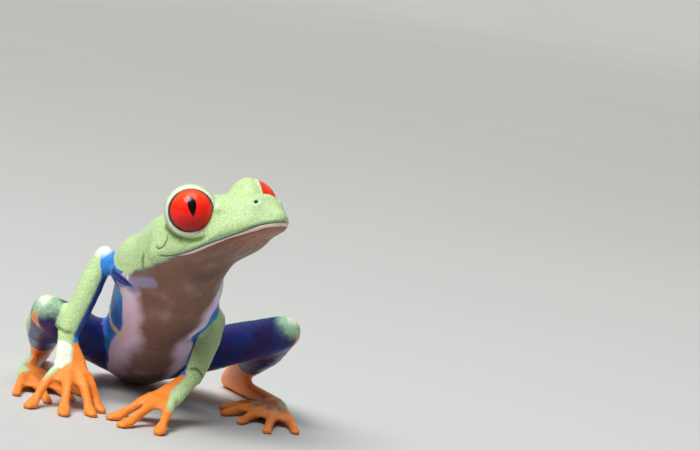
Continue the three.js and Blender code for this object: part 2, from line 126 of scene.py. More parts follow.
def smooth(low, high, x):
    """0 below low, 1 above high, and a smooth rise between. With high under low it falls instead."""
    t = np.clip((x - low) / (high - low), 0, 1)
    return t * t * (3 - 2 * t)


def bell(x, width):
    return np.exp(-((x / width) ** 2))


def curve(x, pairs):
    """A smooth line through (position, value) pairs."""
    xs, ys = np.array(pairs, float).T
    slopes = np.gradient(ys, xs)
    i = np.clip(np.searchsorted(xs, x) - 1, 0, len(xs) - 2)
    span = xs[i + 1] - xs[i]
    t = np.clip((x - xs[i]) / span, 0, 1)
    rise = (3 - 2 * t) * t * t
    return (
        (1 - rise) * ys[i] + rise * ys[i + 1]
        + (t - 1) ** 2 * t * span * slopes[i] + (t - 1) * t * t * span * slopes[i + 1]
    )


def in_head(p):
    """Distances ahead, left and up from the middle of the eyes."""
    return ((p - EYE_MIDDLE) @ HEAD_AXES).T


def facing(way, axis="-Z"):
    """The matrix that turns an object's axis to point a way."""
    return Vector(way).to_track_quat(axis, "Y").to_matrix().to_4x4()


def head_point(ahead, left, up):
    return EYE_MIDDLE + HEAD_AXES @ v3(ahead, left, up)


def along_line(p, line):
    """For each point: the distance to a line of points, and the share of the line's length there."""
    line = np.asarray(line, float)
    steps = lengths(np.diff(line, axis=0))
    total = steps.sum()
    best = np.full(len(p), np.inf)
    share = np.zeros(len(p))
    start = 0.0
    for i, step in enumerate(steps):
        way = (line[i + 1] - line[i]) / step
        t = np.clip((p - line[i]) @ way, 0, step)
        gap = lengths(p - line[i] - np.outer(t, way))
        closer = gap < best
        best[closer] = gap[closer]
        share[closer] = (start + t[closer]) / total
        start += step
    return best, share


def stripe(p, a, b, towards, half_angle):
    """Millimetres inside the edge of a stripe along a limb from a to b, on the side towards."""
    axis = unit(b - a)
    towards = unit(towards - axis * (towards @ axis))
    out = p - a
    out = out - np.outer(out @ axis, axis)
    far = np.maximum(lengths(out), 1e-6)
    angle = np.arccos(np.clip(out @ towards / far, -1, 1))
    return (math.radians(half_angle) - angle) * far


def turned(side, turn):
    """A level direction, turn degrees from straight ahead towards the frog's middle."""
    a = math.radians(turn)
    return v3(-SIDES[side] * math.sin(a), -math.cos(a), 0)


# ------ building the skin's mesh

EYE_FILL = 0.3
TRENCH_FROM_AXIS = 4.1  # the groove under each eye, from the axis of its opening
LID_AXIS = {"right": (48.5, -7), "left": (48.5, 5)}  # degrees outwards from straight ahead, and upwards
LID_OPENING = {"right": 69, "left": 67}
LID_RIM = {"right": 3.64, "left": 3.54}
LID_BAND = {"right": 13, "left": 6}  # degrees that the pale edge of the lids is wide, to either side
LID_HOLD = {"right": (36, 18), "left": (28, 4)}  # over these degrees the lids rise to the head's surface
PUPIL_AXIS = (44, 3)
PUPIL_LEAN = 4
IRIS_AXIS = (47, -3.3)
IRIS_OPENING = {"right": 58, "left": 76}


def eye_axis(side, out, up):
    o, u = math.radians(out), math.radians(up)
    return HEAD_AXES @ v3(math.cos(o) * math.cos(u), SIDES[side] * math.sin(o) * math.cos(u), math.sin(u))


def solid_copy(name, swell):
    """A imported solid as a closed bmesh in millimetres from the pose's origin, swollen on every side."""
    bm = bmesh.new()
    bm.from_mesh(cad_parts[name].data)
    bmesh.ops.remove_doubles(bm, verts=bm.verts, dist=1e-6)
    bmesh.ops.transform(bm, matrix=Matrix.Scale(1 / MM, 4), verts=bm.verts)
    bmesh.ops.translate(bm, vec=Vector(-POSE_ORIGIN), verts=bm.verts)
    bm.normal_update()
    for vert in bm.verts:
        vert.co += vert.normal * swell
    return bm


FLESH = sorted(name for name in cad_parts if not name.startswith("eye_"))


def made_mesh(bm, name):
    """Turns a bmesh into a mesh and frees it."""
    mesh = bpy.data.meshes.new(name)
    bm.to_mesh(mesh)
    bm.free()
    return mesh


def added(context, name, data):
    """A new object in the scene."""
    obj = bpy.data.objects.new(name, data)
    context.scene.collection.objects.link(obj)
    return obj


def joined(names, swell):
    """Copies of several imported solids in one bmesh, one after the other."""
    whole = bmesh.new()
    for name in names:
        mesh = made_mesh(solid_copy(name, EYE_FILL if name.startswith("eye_") else swell), "part")
        whole.from_mesh(mesh)
        bpy.data.meshes.remove(mesh)
    return whole


def applied(obj):
    """The object's mesh with its modifiers applied."""
    shown = obj.evaluated_get(bpy.context.evaluated_depsgraph_get())
    mesh = bpy.data.meshes.new_from_object(shown)
    obj.modifiers.clear()
    obj.data = mesh
    return mesh


def largest_body(bm):
    """Deletes all but the body that holds the highest vertex."""
    top = max(bm.verts, key=lambda vert: vert.co.z)
    seen = {top}
    front = [top]
    while front:
        vert = front.pop()
        for edge in vert.link_edges:
            other = edge.other_vert(vert)
            if other not in seen:
                seen.add(other)
                front.append(other)
    bmesh.ops.delete(bm, geom=[vert for vert in bm.verts if vert not in seen], context="VERTS")


def edited(mesh, change):
    """Makes a change to a mesh as a bmesh."""
    bm = bmesh.new()
    bm.from_mesh(mesh)
    change(bm)
    bm.to_mesh(mesh)
    bm.free()


def finer(mesh, chosen):
    """Splits every edge between chosen vertices in two."""
    def split(bm):
        edges = [edge for edge in bm.edges if all(chosen[vert.index] for vert in edge.verts)]
        bmesh.ops.subdivide_edges(bm, edges=edges, cuts=1, use_grid_fill=True)

    edited(mesh, split)


class Sheet:
    """The skin's vertices as arrays, with the moves that shape them."""

    def __init__(self, mesh):
        self.mesh = mesh
        n = len(mesh.vertices)
        self.p = np.empty(n * 3)
        mesh.vertices.foreach_get("co", self.p)
        self.p = self.p.reshape(n, 3)
        edges = np.empty(len(mesh.edges) * 2, int)
        mesh.edges.foreach_get("vertices", edges)
        self.a, self.b = edges.reshape(-1, 2).T
        self.degree = np.bincount(self.a, minlength=n) + np.bincount(self.b, minlength=n)

    def normals(self):
        self.mesh.vertices.foreach_set("co", self.p.ravel())
        self.mesh.update()
        out = np.empty(len(self.p) * 3, np.float32)
        self.mesh.vertex_normals.foreach_get("vector", out)
        return out.reshape(-1, 3).astype(float)

    def towards_neighbours(self, values):
        n = len(values)
        total = np.stack([
            np.bincount(self.a, column[self.b], n) + np.bincount(self.b, column[self.a], n)
            for column in values.T
        ], 1)
        return total / self.degree[:, None] - values

    def spread(self, values, weight, rounds):
        for _ in range(rounds):
            values = values + weight[:, None] * self.towards_neighbours(values)
        return values

    def relax(self, weight, rounds):
        """Smooths, then gives back the broad part of what the smoothing took."""
        smoothed = self.spread(self.p, weight, rounds)
        self.p = smoothed + self.spread(self.p - smoothed, weight, rounds)

    def raise_by(self, amount):
        self.p += self.normals() * amount[:, None]


def eased(mesh):
    """The mesh's sheet after a light smoothing of both."""
    sheet = Sheet(mesh)
    sheet.relax(np.full(len(sheet.p), 0.3), 2)
    sheet.normals()
    return sheet


def nearness(p, names, reach=1.5, softness=0.3):
    """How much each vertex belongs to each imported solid, by its distance. Columns follow names."""
    gaps = np.full((len(p), len(names)), 9.0)
    for column, name in enumerate(names):
        bm = solid_copy(name, 0)
        tree = BVHTree.FromBMesh(bm)
        low = np.min([v.co for v in bm.verts], 0) - reach
        high = np.max([v.co for v in bm.verts], 0) + reach
        bm.free()
        for i in np.flatnonzero(((p > low) & (p < high)).all(1)):
            found = tree.find_nearest(p[i], reach)
            if found[3] is not None:
                gaps[i, column] = found[3]
    weight = np.exp(-(gaps - gaps.min(1)[:, None]) / softness)
    return weight / weight.sum(1)[:, None]


SWELL = 0.2  # the solids are swollen by this so that they join, and the skin is drawn in by it again
EVENING_ROUNDS = 72
# How far the surface of each kind of solid is smoothed, from thin digits to the broad trunk.
EVENING = {
    "head": 0.3, "jaw": 0.3, "trunk": 1, "pelvis": 1, "thigh": 0.6, "shank": 0.4, "upper_arm": 0.4,
    "forearm": 0.4, "tarsus": 0.15, "hand": 0.12, "foot": 0.12, "finger": 0.05, "toe": 0.05,
}


def kind_of(name):
    base = name.rsplit("_", 1)[0] if name.endswith(("_right", "_left")) else name
    return base.rstrip("_12345")


def nearest_kind(p):
    """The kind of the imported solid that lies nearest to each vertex."""
    whole = joined(FLESH, 0)
    kinds = np.concatenate([[kind_of(name)] * len(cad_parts[name].data.polygons) for name in FLESH])
    tree = BVHTree.FromBMesh(whole)
    whole.free()
    return kinds[[tree.find_nearest(point)[2] for point in p]]


# ------ modelling the skin

# The mouth's line: ahead of the eyes, and up.
MOUTH = ((-7, -5.45), (-5.7, -5.5), (-4.5, -5.8), (-2.64, -6.02), (-1, -6.0), (0.4, -5.84), (1.74, -5.61),
         (3.1, -5.40), (5.1, -5.13), (7.07, -4.88), (8.5, -4.61), (9.4, -4.44), (10.4, -4.43), (11.5, -4.5))
MOUTH_CORNER = -5.9
# The mouth's edge round the jaw: ahead of the eyes, and aside.
LIP_EDGE = ((-7, 8.0), (-4, 8.43), (-2, 8.02), (0, 7.55), (2, 6.8), (4, 5.85), (6, 5.15), (8, 4.3),
            (9.7, 2.75), (10.5, 1.5), (10.9, 0))
NOSTRIL = (8.85, 2.48, -1.02)
TYMPANUM = (-5.17, 8.1, -3.14)
TYMPANUM_RADIUS = 1.35
JAW_FOLD = ((-5.55, -2.1, 24.3), (-5.45, -1.95, 23.7), (-5.2, -1.75, 22.5), (-4.8, -1.9, 21.7))
ARMPIT = ((-8.7, 5.4, 20.2), (-7.75, 3.8, 19.6), (-6.6, 2.5, 19.2), (-5.65, 1.5, 18.7))
THROAT_FOLD = ((5.6, -4.0, 23.6), (4.9, -2.3, 21.2), (4.6, -0.8, 19.4), (5.2, 0.8, 17.6))
# Deeper folds: their course, half width and depth.
FOLDS = ((JAW_FOLD, 0.22, 0.3), (ARMPIT, 0.25, 0.22), (THROAT_FOLD, 0.5, 0.16))


def round_eye(p, side):
    """Where points lie round an eye's opening. far is measured from the ball's centre, along and wide
    along and from the opening's axis, and past in degrees outside the lids' edge, which closes in more
    under the eye. below and front run from -1 to 1, and corner is 1 at the front corner."""
    axis = eye_axis(side, *LID_AXIS[side])
    out = p - EYES[side]
    far = lengths(out)
    along = out @ axis
    around = out - np.outer(along, axis)
    wide = np.maximum(lengths(around), 1e-6)
    around /= wide[:, None]
    below = -(around @ UPWARDS)
    front = around @ FORWARD
    corner = bell(np.degrees(np.arctan2(below, front)) - 22, 15)
    angle = np.degrees(np.arccos(np.clip(along / far, -1, 1)))
    past = angle - LID_OPENING[side] + np.where(below > 0, 12, 4.5) * below ** 2
    return SimpleNamespace(
        axis=axis, out=out, far=far, along=along, wide=wide, past=past, below=below, front=front,
        corner=corner,
    )


def shape_lids(p):
    for side in SIDES:
        at = round_eye(p, side)
        rim = LID_RIM[side] + 0.08 * bell(at.past - 7, 6) + 0.14 * at.corner * bell(at.past - 12, 8)
        rim += 0.26 * smooth(0, 14, at.past) * smooth(0.1, 0.8, at.below)
        hold = smooth(*LID_HOLD[side], at.past) * smooth(5.6, 5.0, at.far)
        reach = at.far + (rim - at.far) * hold
        reach += (3.15 - reach) * smooth(2, -1.5, at.past) * (at.far < 5.2)
        p[:] = EYES[side] + at.out / at.far[:, None] * reach[:, None]
        at = round_eye(p, side)
        trench = smooth(-0.1, 0.7, at.below) * (1 - 0.7 * at.corner)
        trench *= bell(at.wide - TRENCH_FROM_AXIS, 0.32) * smooth(3, 2, np.abs(at.along))
        p -= np.outer(0.3 * trench, at.axis)


def soften_under_eyes(sheet):
    for side in SIDES:
        at = round_eye(sheet.p, side)
        under = smooth(0, 0.4, at.below) * bell(at.wide - 4.3, 0.5) * smooth(3.4, 2.6, np.abs(at.along))
        sheet.p = sheet.spread(sheet.p, 0.5 * under, 6)


def nostril_places(p, side):
    """Distances ahead, left, up and in all from a nostril, then 1 towards its low front and -1 away."""
    ahead, left, up = in_head(p)
    a, l, u = ahead - NOSTRIL[0], left - SIDES[side] * NOSTRIL[1], up - NOSTRIL[2]
    far = np.sqrt(a * a + l * l + u * u)
    return a, l, u, far, (0.7 * a - 0.6 * u) / np.maximum(far, 1e-3)


def tympanum_places(p, side):
    """Whether points lie near a tympanum, their distance from its middle, and 1 towards its low front."""
    ahead, left, up = in_head(p)
    a, u = ahead - TYMPANUM[0], up - TYMPANUM[2]
    far = np.sqrt(a * a + u * u)
    return np.abs(left - SIDES[side] * TYMPANUM[1]) < 2, far, (0.45 * a - 0.85 * u) / np.maximum(far, 1e-3)


def shape_nostrils(sheet):
    for side in SIDES:
        a, l, u, far, low_front = nostril_places(sheet.p, side)
        pit = np.exp(-((a - 0.3 * u) / 0.2) ** 2 - (u / 0.32) ** 2 - (l / 0.38) ** 2)
        ridge = bell(far - 0.46, 0.2) * smooth(-0.6, 0.7, low_front)
        sheet.raise_by(0.13 * ridge + 0.1 * bell(far, 0.9) - 0.6 * pit)


def mouth_gap(p):
    """Millimetres above the closed mouth, and where along the head."""
    ahead, _, up = in_head(p)
    return up - curve(ahead, MOUTH), ahead


def below_lip(p):
    """Distance from the mouth's edge, all round the jaw."""
    ahead, left, up = in_head(p)
    places, sides = np.array(LIP_EDGE, float).T
    edge = np.stack((places, sides, curve(places, MOUTH)), 1)
    return along_line(np.stack((ahead, np.abs(left), up), 1), edge)[0]


def on_mouth(p):
    """1 along the mouth's line, fading at its corners, and 0 away from the head."""
    return smooth(MOUTH_CORNER - 0.3, MOUTH_CORNER + 0.9, in_head(p)[0])


def shape_mouth(sheet):
    gap, _ = mouth_gap(sheet.p)
    sheet.raise_by(on_mouth(sheet.p) * (
        -0.2 * bell(gap, 0.12) + 0.08 * bell(gap - 0.38, 0.26) + 0.12 * bell(gap + 0.34, 0.24)
    ))
    # Short wrinkles behind the corners of the mouth.
    ahead, left, up = in_head(sheet.p)
    behind = bell(ahead + 7.3, 1.3) * bell(up + 5.6, 1.1) * (np.abs(left) > 4)
    sheet.raise_by(0.055 * behind * np.sin((up + 0.25 * np.sin(ahead * 2.1)) * 2 * math.pi / 0.55))


def shape_tympana(sheet):
    for side in SIDES:
        here, far, low_front = tympanum_places(sheet.p, side)
        low_front = 0.15 + 0.85 * smooth(-0.3, 0.6, low_front)
        step = smooth(TYMPANUM_RADIUS + 0.1, TYMPANUM_RADIUS - 0.1, far)
        ring = bell(far - TYMPANUM_RADIUS - 0.05, 0.14)
        sheet.raise_by(here * low_front * (0.07 * step - 0.17 * ring) - 0.05 * here * smooth(1.1, 0.2, far))


def fold(sheet, line, width, depth):
    gap, share = along_line(sheet.p, line)
    fade = smooth(0, 0.25, share) * smooth(1, 0.75, share)
    sheet.raise_by(fade * depth * (0.35 * bell(gap - 2.2 * width, width) - bell(gap, width)))


def wrist_crease(p, side):
    """Whether each point lies on the wrist, and its distance past the crease across it."""
    axis = unit(WRIST[side] - ELBOW[side])
    out = p - WRIST[side]
    along = out @ axis
    close = lengths(out - np.outer(along, axis)) < 2.6
    return close, along + 0.6 + 0.12 * np.sin(3 * out[:, 0])


def shape_folds(sheet):
    for line, width, depth in FOLDS:
        fold(sheet, line, width, depth)
    for side in SIDES:
        close, across = wrist_crease(sheet.p, side)
        sheet.raise_by(close * (0.08 * bell(across - 0.5, 0.3) - 0.16 * bell(across, 0.18)))
    # Loose folds across the belly.
    share, angle, _ = trunk_place(sheet.p)
    loose = smooth(-35, -60, angle) * smooth(0.22, 0.36, share) * smooth(0.66, 0.5, share)
    wave = np.sin(share * 2 * math.pi * 21 + 1.2 * np.sin(sheet.p[:, 0] * 0.7))
    sheet.raise_by(0.05 * loose * wave)


def near_features(p, margin):
    """Whether each vertex lies about margin millimetres or less from a small feature."""
    gap, ahead = mouth_gap(p)
    chosen = (np.abs(gap) < 0.2 + margin) & (ahead > MOUTH_CORNER - margin)
    for side, sign in SIDES.items():
        at = round_eye(p, side)
        chosen |= (at.far < 5.2) & (at.past > -4 - 4 * margin) & (at.past < 8 + 24 * margin)
        chosen |= (at.far < 4.8) & (at.below > 0) & (at.past > 0) & (at.past < 75 * margin)
        chosen |= nostril_places(p, side)[3] < 0.7 + margin
        drum = lengths(p - head_point(TYMPANUM[0], sign * TYMPANUM[1], TYMPANUM[2]))
        chosen |= np.abs(drum - TYMPANUM_RADIUS) < 0.2 + margin
    for line, width, _ in FOLDS[:2]:
        chosen |= along_line(p, line)[0] < 1.5 * width + margin
    return chosen


def finger_tips(p):
    return np.isin(nearest_kind(p), ("finger",)) & (p[:, 2] < 2.6)


def relief(p):
    """Small unevenness of living skin."""
    out = np.empty(len(p))
    for i, point in enumerate(p):
        q = Vector(point)
        out[i] = 0.05 * noise.noise(q * 0.8) + 0.022 * noise.noise(q * 2.3)
    return out


def trunk_place(p):
    """Share along the trunk from rump to neck, degrees up from its side, and distance from its middle."""
    gap, share = along_line(p, TRUNK_SPINE)
    ways = np.diff(TRUNK_SPINE, axis=0)
    steps = lengths(ways)
    ways /= steps[:, None]
    side = np.cross(ways, (0, 0, 1))
    side /= lengths(side)[:, None]
    back = np.cross(side, ways)
    ends = np.cumsum(np.r_[0, steps]) / steps.sum()
    middles = (ends[:-1] + ends[1:]) / 2

    def blended(shares, values):
        return np.stack([np.interp(share, shares, column) for column in values.T], 1)

    # The directions turn evenly from one stretch of the spine to the next.
    out = p - blended(ends, TRUNK_SPINE)
    aside = (out * blended(middles, side)).sum(1)
    lift = (out * blended(middles, back)).sum(1)
    return share, np.degrees(np.arctan2(lift, np.abs(aside))), gap


# ------ where the skin's colours lie, with its painted light and shade

FAR_OUT = -5.0
WELL_IN = 3  # fields are cut off at this many millimetres inside or outside an edge
# Of these kinds, the dark olive of grooves and folds, the near-black of the mouth's slit and nostrils, and
# the orange-brown of the chin are painted shade; the pale kind is partly pale skin and partly painted
# highlights.
KINDS = ("green", "blue", "deep", "orange", "cream", "pale", "lip", "crease", "hollow", "warm")


def blank(p, **given):
    """No colour anywhere, apart from the kinds that are given one value all over."""
    levels = dict.fromkeys(KINDS, FAR_OUT) | {"hollow": 0.0, "warm": 0.0} | given
    return {kind: np.full(len(p), float(levels[kind])) for kind in KINDS}


def lay(fields, kind, value):
    """Adds a further patch of one colour."""
    fields[kind] = np.maximum(fields[kind], value)


# Edges on the trunk: share along it, and degrees up from its side.
GREEN_EDGE = ((0, 15), (0.2, 18), (0.45, 14), (0.6, 8), (0.7, 3), (0.78, -8), (0.82, -15), (0.88, -21),
              (1, -27))
BELLY_EDGE = ((0, -10), (0.3, -24), (0.45, -32), (0.58, -40), (0.72, -29), (0.8, -20), (0.84, -17),
              (1, -17))
# The green's edge on the cheek: ahead of the eyes, and up.
CHEEK_EDGE = ((-20, -6.1), (-16, -6.3), (-11.8, -6.25), (-7.64, -6.43), (-5.5, -6.41), (-3.5, -6.25),
              (-2.4, -6.02))
BAR_EVERY = 4.2
BAR_WIDTH = 1.0
BARS_UP_TO = 0.78
ARMPIT_TIP = (-7.0, 2.2, 20.1)
BAR_LEAN = 0.03  # millimetres forward for each degree up the flank
# On the right flank: a pale spot, a pale bar down the outline, and a lilac patch in front of the armpit.
FLANK_SPOT = ((-6.95, 4.0, 18.1), (-6.8, 4.7, 17.1))
EDGE_BAR = ((-7.2, 14.9, 13.0), (-6.9, 14.8, 11.5), (-6.4, 13.7, 10.8), (-5.8, 12.7, 10.3),
            (-5.2, 12.1, 9.8))
LILAC_PATCH = ((-6.2, 1.5, 19.5), (-4.9, -0.6, 20.1), (-3.6, -2.4, 20.4))


def paint_trunk(fields, p):
    """Green back, blue flanks with cream bars, and the green of the cheeks down to the mouth."""
    share, angle, gap = trunk_place(p)
    ahead, left, up = in_head(p)
    arc = math.pi / 180 * np.maximum(gap, 1)
    on_trunk = (angle - curve(share, GREEN_EDGE)) * arc
    on_head = np.where(ahead < CHEEK_EDGE[-1][0], up - curve(ahead, CHEEK_EDGE), mouth_gap(p)[0])
    neck = smooth(0.82, 0.93, share)
    green = on_trunk + (on_head - on_trunk) * neck
    green -= 1.5 * smooth(2, 6, left) * smooth(-4, -7, ahead) * smooth(0.7, 0.8, share)
    fields["green"] = green
    far_side = 1.4 * smooth(1, 3, p[:, 0]) * smooth(0.58, 0.68, share)
    belly = (angle - curve(share, BELLY_EDGE)) * arc - far_side
    flank = np.where(belly < 0, 0.6 * belly, belly) - 3 * smooth(0.81, 0.87, share)
    fields["blue"] = np.where(share < 0.9, flank, FAR_OUT)
    # Cream bars hang from the green edge over the upper part of the flank.
    length = lengths(np.diff(TRUNK_SPINE, axis=0)).sum()
    phase = (share * length + BAR_LEAN * (angle - 10)) / BAR_EVERY
    narrowing = smooth(-4.2, -0.5, green)
    bars = BAR_WIDTH / 2 * narrowing - 0.2 - np.abs(phase - np.floor(phase) - 0.5) * BAR_EVERY
    bars = np.minimum(np.where(share > BARS_UP_TO, FAR_OUT, bars), 0.25 - green)
    tip = 0.5 - lengths(p - ARMPIT_TIP)
    edge_bar = 0.8 - along_line(p, EDGE_BAR)[0]
    cream = np.maximum.reduce((np.minimum(bars, belly), tip, edge_bar))
    fields["cream"] = np.where(neck > 0.5, FAR_OUT, cream)
    # Painted shade: dark olive along the jaw's fold.
    lay(fields, "hollow", 0.9 * bell(along_line(p, JAW_FOLD)[0], 0.4) * smooth(-0.5, 0.1, green))


def paint_lids(fields, p):
    for side in SIDES:
        at = round_eye(p, side)
        band = LID_BAND[side] * (1 - 0.5 * smooth(0.2, 0.9, at.front))
        band *= 1 - 0.55 * smooth(0, 0.8, at.below)
        rim = (band - np.abs(at.past - band + 4)) * 0.05 + 0.2 * at.corner * bell(at.past - 6, 8)
        reach = LID_RIM[side] + 0.24 + 0.3 * smooth(0.1, 0.8, at.below) + 0.2 * at.corner
        lay(fields, "pale", np.minimum(rim, (reach - at.far) * 2))
        # Painted shade: dark olive in the groove under each eye.
        trench = smooth(-0.3, 0.5, at.below) * bell(at.wide - TRENCH_FROM_AXIS, 0.4)
        lay(fields, "hollow", trench * smooth(3, 2, np.abs(at.along)))


def paint_mouth(fields, p):
    lips, ahead = mouth_gap(p)
    on = on_mouth(p)
    # Painted shade: a thin near-black line along the mouth's slit, narrowing towards the snout's tip.
    fields["crease"] = np.where(on > 0, 0.07 * on * smooth(11, 8, ahead) - np.abs(lips), FAR_OUT)
    wide_lip = 0.5 * smooth(-4, 0, ahead) + 0.15 * smooth(4, 10, ahead)
    fields["lip"] = np.where((ahead > -4) & (lips < -0.02), wide_lip - below_lip(p), FAR_OUT)
    # Painted shade: orange-brown on the chin, under the front of the mouth.
    fields["warm"] = smooth(0, 5, ahead) * smooth(0.2, -0.4, lips)
    # Painted shade: a faint darker band just above the mouth's line.
    lay(fields, "hollow", 0.2 * bell(lips - 0.4, 0.4) * on)


def paint_nostrils_and_tympana(fields, p):
    for side, sign in SIDES.items():
        a, l, u, far, low_front = nostril_places(p, side)
        # Painted shade: near-black in each nostril's pit.
        inwards = 0.45 * a + 0.85 * sign * l + 0.28 * u
        opening = np.sqrt(np.maximum(far ** 2 - inwards ** 2, 0))
        lay(fields, "crease", 0.3 * (1 - np.hypot(opening / 0.3, inwards / 0.9)))
        low_front = smooth(-0.4, 0.6, low_front)
        lay(fields, "pale", (0.3 - np.abs(far - 0.48)) * low_front - 0.1 - 0.5 * (1 - low_front))
        here, far, low_front = tympanum_places(p, side)
        # Painted shade: dark olive round the low front of each tympanum.
        ring = bell(far - TYMPANUM_RADIUS - 0.06, 0.14)
        lay(fields, "hollow", ring * smooth(-0.2, 0.6, low_front) * here)


def paint_body(p):
    fields = blank(p)
    for painter in (paint_trunk, paint_lids, paint_mouth, paint_nostrils_and_tympana):
        painter(fields, p)
    return fields


FOREARM_GREEN = {"right": v3(-0.78, -0.62, 0.08), "left": v3(0.75, -0.55, 0.45)}
ARM_GREEN = {"right": 1.7, "left": 4.2}
FOREARM_WIDE = {"right": 84, "left": 104}  # degrees to either side of that direction
# Painted highlight: the middle of a pale spot on each elbow.
ELBOW_HIGHLIGHT = {"right": v3(-10.1, 9.6, 22.8), "left": v3(9.3, 10.9, 15.9)}
KNEE_GREEN = {"right": 0.13, "left": 0.18}
SHANK_BLUE_TO = 17
HAND_GREEN_FROM = {"right": -0.4, "left": 0.4}
# Shifts the painted highlight on the outer side of each hand and outermost finger; the left hand's is
# shifted so far that none shows.
HAND_HIGHLIGHT = {"right": 0.0, "left": -3.0}
# The outermost digits: number, turn of the hand or foot, root, measures, and share of them in green.
OUTERMOST = {
    "finger": (4, HAND_TURN, KNUCKLE, OUTER_FINGER, 0.5),
    "toe": (5, FOOT_TURN, ANKLE, OUTER_TOE, 0.35),
}


def paint_upper_arm(p, side):
    fields = blank(p)
    along = (p - SHOULDER[side]) @ unit(ELBOW[side] - SHOULDER[side])
    fields["blue"] = (along - 0.6) * 1.2
    fields["deep"] = (2.2 - along) * 0.7
    fields["green"] = ARM_GREEN[side] - lengths(p - ELBOW[side] - v3(SIDES[side] * 0.4, 0.3, 1.2))
    # Painted highlight: a pale spot on the elbow.
    fields["pale"] = (1.3 - lengths(p - ELBOW_HIGHLIGHT[side])) * 0.5
    return fields


def paint_forearm(p, side):
    fields = blank(p, blue=WELL_IN, deep=0.3)
    fields["green"] = stripe(p, ELBOW[side], WRIST[side], FOREARM_GREEN[side], FOREARM_WIDE[side])
    lay(fields, "green", 1.8 - lengths(p - ELBOW[side] - v3(0, 0, 1.0)))
    # Painted highlight: a pale spot on the elbow.
    fields["pale"] = (1.5 - lengths(p - ELBOW_HIGHLIGHT[side])) * 0.5
    # Painted shade: a dark olive line across the wrist, on its green side.
    close, across = wrist_crease(p, side)
    fields["hollow"] = 1.3 * close * bell(across, 0.28) * smooth(0.2, 0.8, fields["green"])
    return fields


def outer_digit(side, turn, root, digit):
    """Where the outermost finger or toe starts, its way, and the level direction to the outer side."""
    _, spread, start = digit
    outwards = turned(side, turn - 90)
    return root + outwards * start, turned(side, turn - spread), outwards


def paint_hand(p, side):
    fields = blank(p, orange=WELL_IN)
    _, _, outwards = outer_digit(side, HAND_TURN[side], KNUCKLE[side], OUTER_FINGER)
    middle = (WRIST[side] + KNUCKLE[side]) / 2
    below_wrist = (p - WRIST[side]) @ unit(KNUCKLE[side] - WRIST[side])
    fields["green"] = (p - middle) @ outwards - HAND_GREEN_FROM[side] + 0.5 * smooth(1.2, 0.2, below_wrist)
    # Painted highlight: the outer part of the hand, past the wrist, is painted pale as if brightly lit.
    fields["pale"] = np.minimum(fields["green"] - 0.1, below_wrist - 0.4) * 0.7 + HAND_HIGHLIGHT[side]
    fields["blue"] = np.minimum(0.4 - below_wrist, -fields["green"])
    return fields


def paint_thigh(p, side):
    fields = blank(p, deep=WELL_IN)
    under = stripe(p, HIP[side], KNEE[side], v3(SIDES[side] * 0.6, 0.5, -1), 30)
    fields["orange"] = under
    fields["blue"] = -under
    fields["green"] = stripe(p, HIP[side], KNEE[side], v3(0, 0.3, 1), 34)
    knee = KNEE[side] + unit(KNEE[side] - HIP[side]) * 1.2
    cap = np.minimum((2.7 - lengths(p - knee - v3(SIDES[side] * 0.3, -0.3, 1.7))) * 0.3, KNEE_GREEN[side])
    lay(fields, "green", cap)
    # Painted highlight: a pale spot on top of the knee.
    fields["pale"] = (1.6 - lengths(p - knee - v3(SIDES[side] * 0.6, -0.3, 2.5))) * 0.4
    return fields


def paint_shank(p, side):
    fields = blank(p, orange=WELL_IN, deep=WELL_IN)
    fields["green"] = stripe(p, KNEE[side], HEEL[side], v3(SIDES[side] * 0.8, 0, 0.7), 66)
    fields["cream"] = 0.2 - np.abs(fields["green"] + 0.15)
    along = (p - KNEE[side]) @ unit(HEEL[side] - KNEE[side])
    fields["blue"] = (SHANK_BLUE_TO - along) * 0.5
    return fields


def paint_tarsus(p, side):
    fields = blank(p, orange=WELL_IN)
    fields["green"] = stripe(p, HEEL[side], ANKLE[side], v3(SIDES[side], 0, 0.45), 58)
    fields["cream"] = 0.18 - np.abs(fields["green"])
    return fields


def paint_foot(p, side):
    fields = blank(p, orange=WELL_IN)
    _, _, outwards = outer_digit(side, FOOT_TURN[side], ANKLE[side], OUTER_TOE)
    fields["green"] = (p - ANKLE[side]) @ outwards - 0.9
    return fields


def paint_digit(p, side, kind, number):
    """Orange, with green on the root of the outermost finger or toe."""
    fields = blank(p, orange=WELL_IN)
    outermost, turn, root, digit, green_to = OUTERMOST[kind]
    if number == outermost:
        start, way, _ = outer_digit(side, turn[side], root[side], digit)
        fields["green"] = (green_to - (p - start) @ way / digit[0]) * 4
        if kind == "finger":
            # Painted highlight on the outermost finger's root, as on the hand.
            fields["pale"] = (fields["green"] - 0.8) * 0.5 + HAND_HIGHLIGHT[side]
    return fields


PAINTERS = {
    "upper_arm": paint_upper_arm, "forearm": paint_forearm, "hand": paint_hand, "thigh": paint_thigh,
    "shank": paint_shank, "tarsus": paint_tarsus, "foot": paint_foot,
}


def paint(p, names, weight):
    """Each colour's field, in millimetres inside its edge, blended over the solids a vertex belongs to."""
    total = {kind: np.zeros(len(p)) for kind in KINDS}
    body = paint_body(p)
    for name, share in zip(names, weight.T):
        on = share > 1e-3
        if not on.any():
            continue
        kind = kind_of(name)
        side = name.rsplit("_", 1)[-1]
        if kind in ("head", "jaw", "trunk", "pelvis"):
            fields = {k: values[on] for k, values in body.items()}
        elif kind in ("finger", "toe"):
            fields = paint_digit(p[on], side, kind, int(name.split("_")[1]))
        else:
            fields = PAINTERS[kind](p[on], side)
        for k in KINDS:
            total[k][on] += np.clip(fields[k], -WELL_IN, WELL_IN) * share[on]
    # The marks round the armpit run over the trunk and the arm alike.
    patch, _ = along_line(p, LILAC_PATCH)
    gap, share = along_line(p, ARMPIT)
    armpit = 0.6 * smooth(1.05, 0.6, share) - gap
    lay(total, "blue", np.maximum(np.minimum(-0.5 - patch * 2, -0.7), armpit * 1.5))
    lay(total, "deep", np.maximum(1.2 - patch, armpit * 2))
    lay(total, "cream", 0.45 - along_line(p, FLANK_SPOT)[0])
    return total


# ------ materials


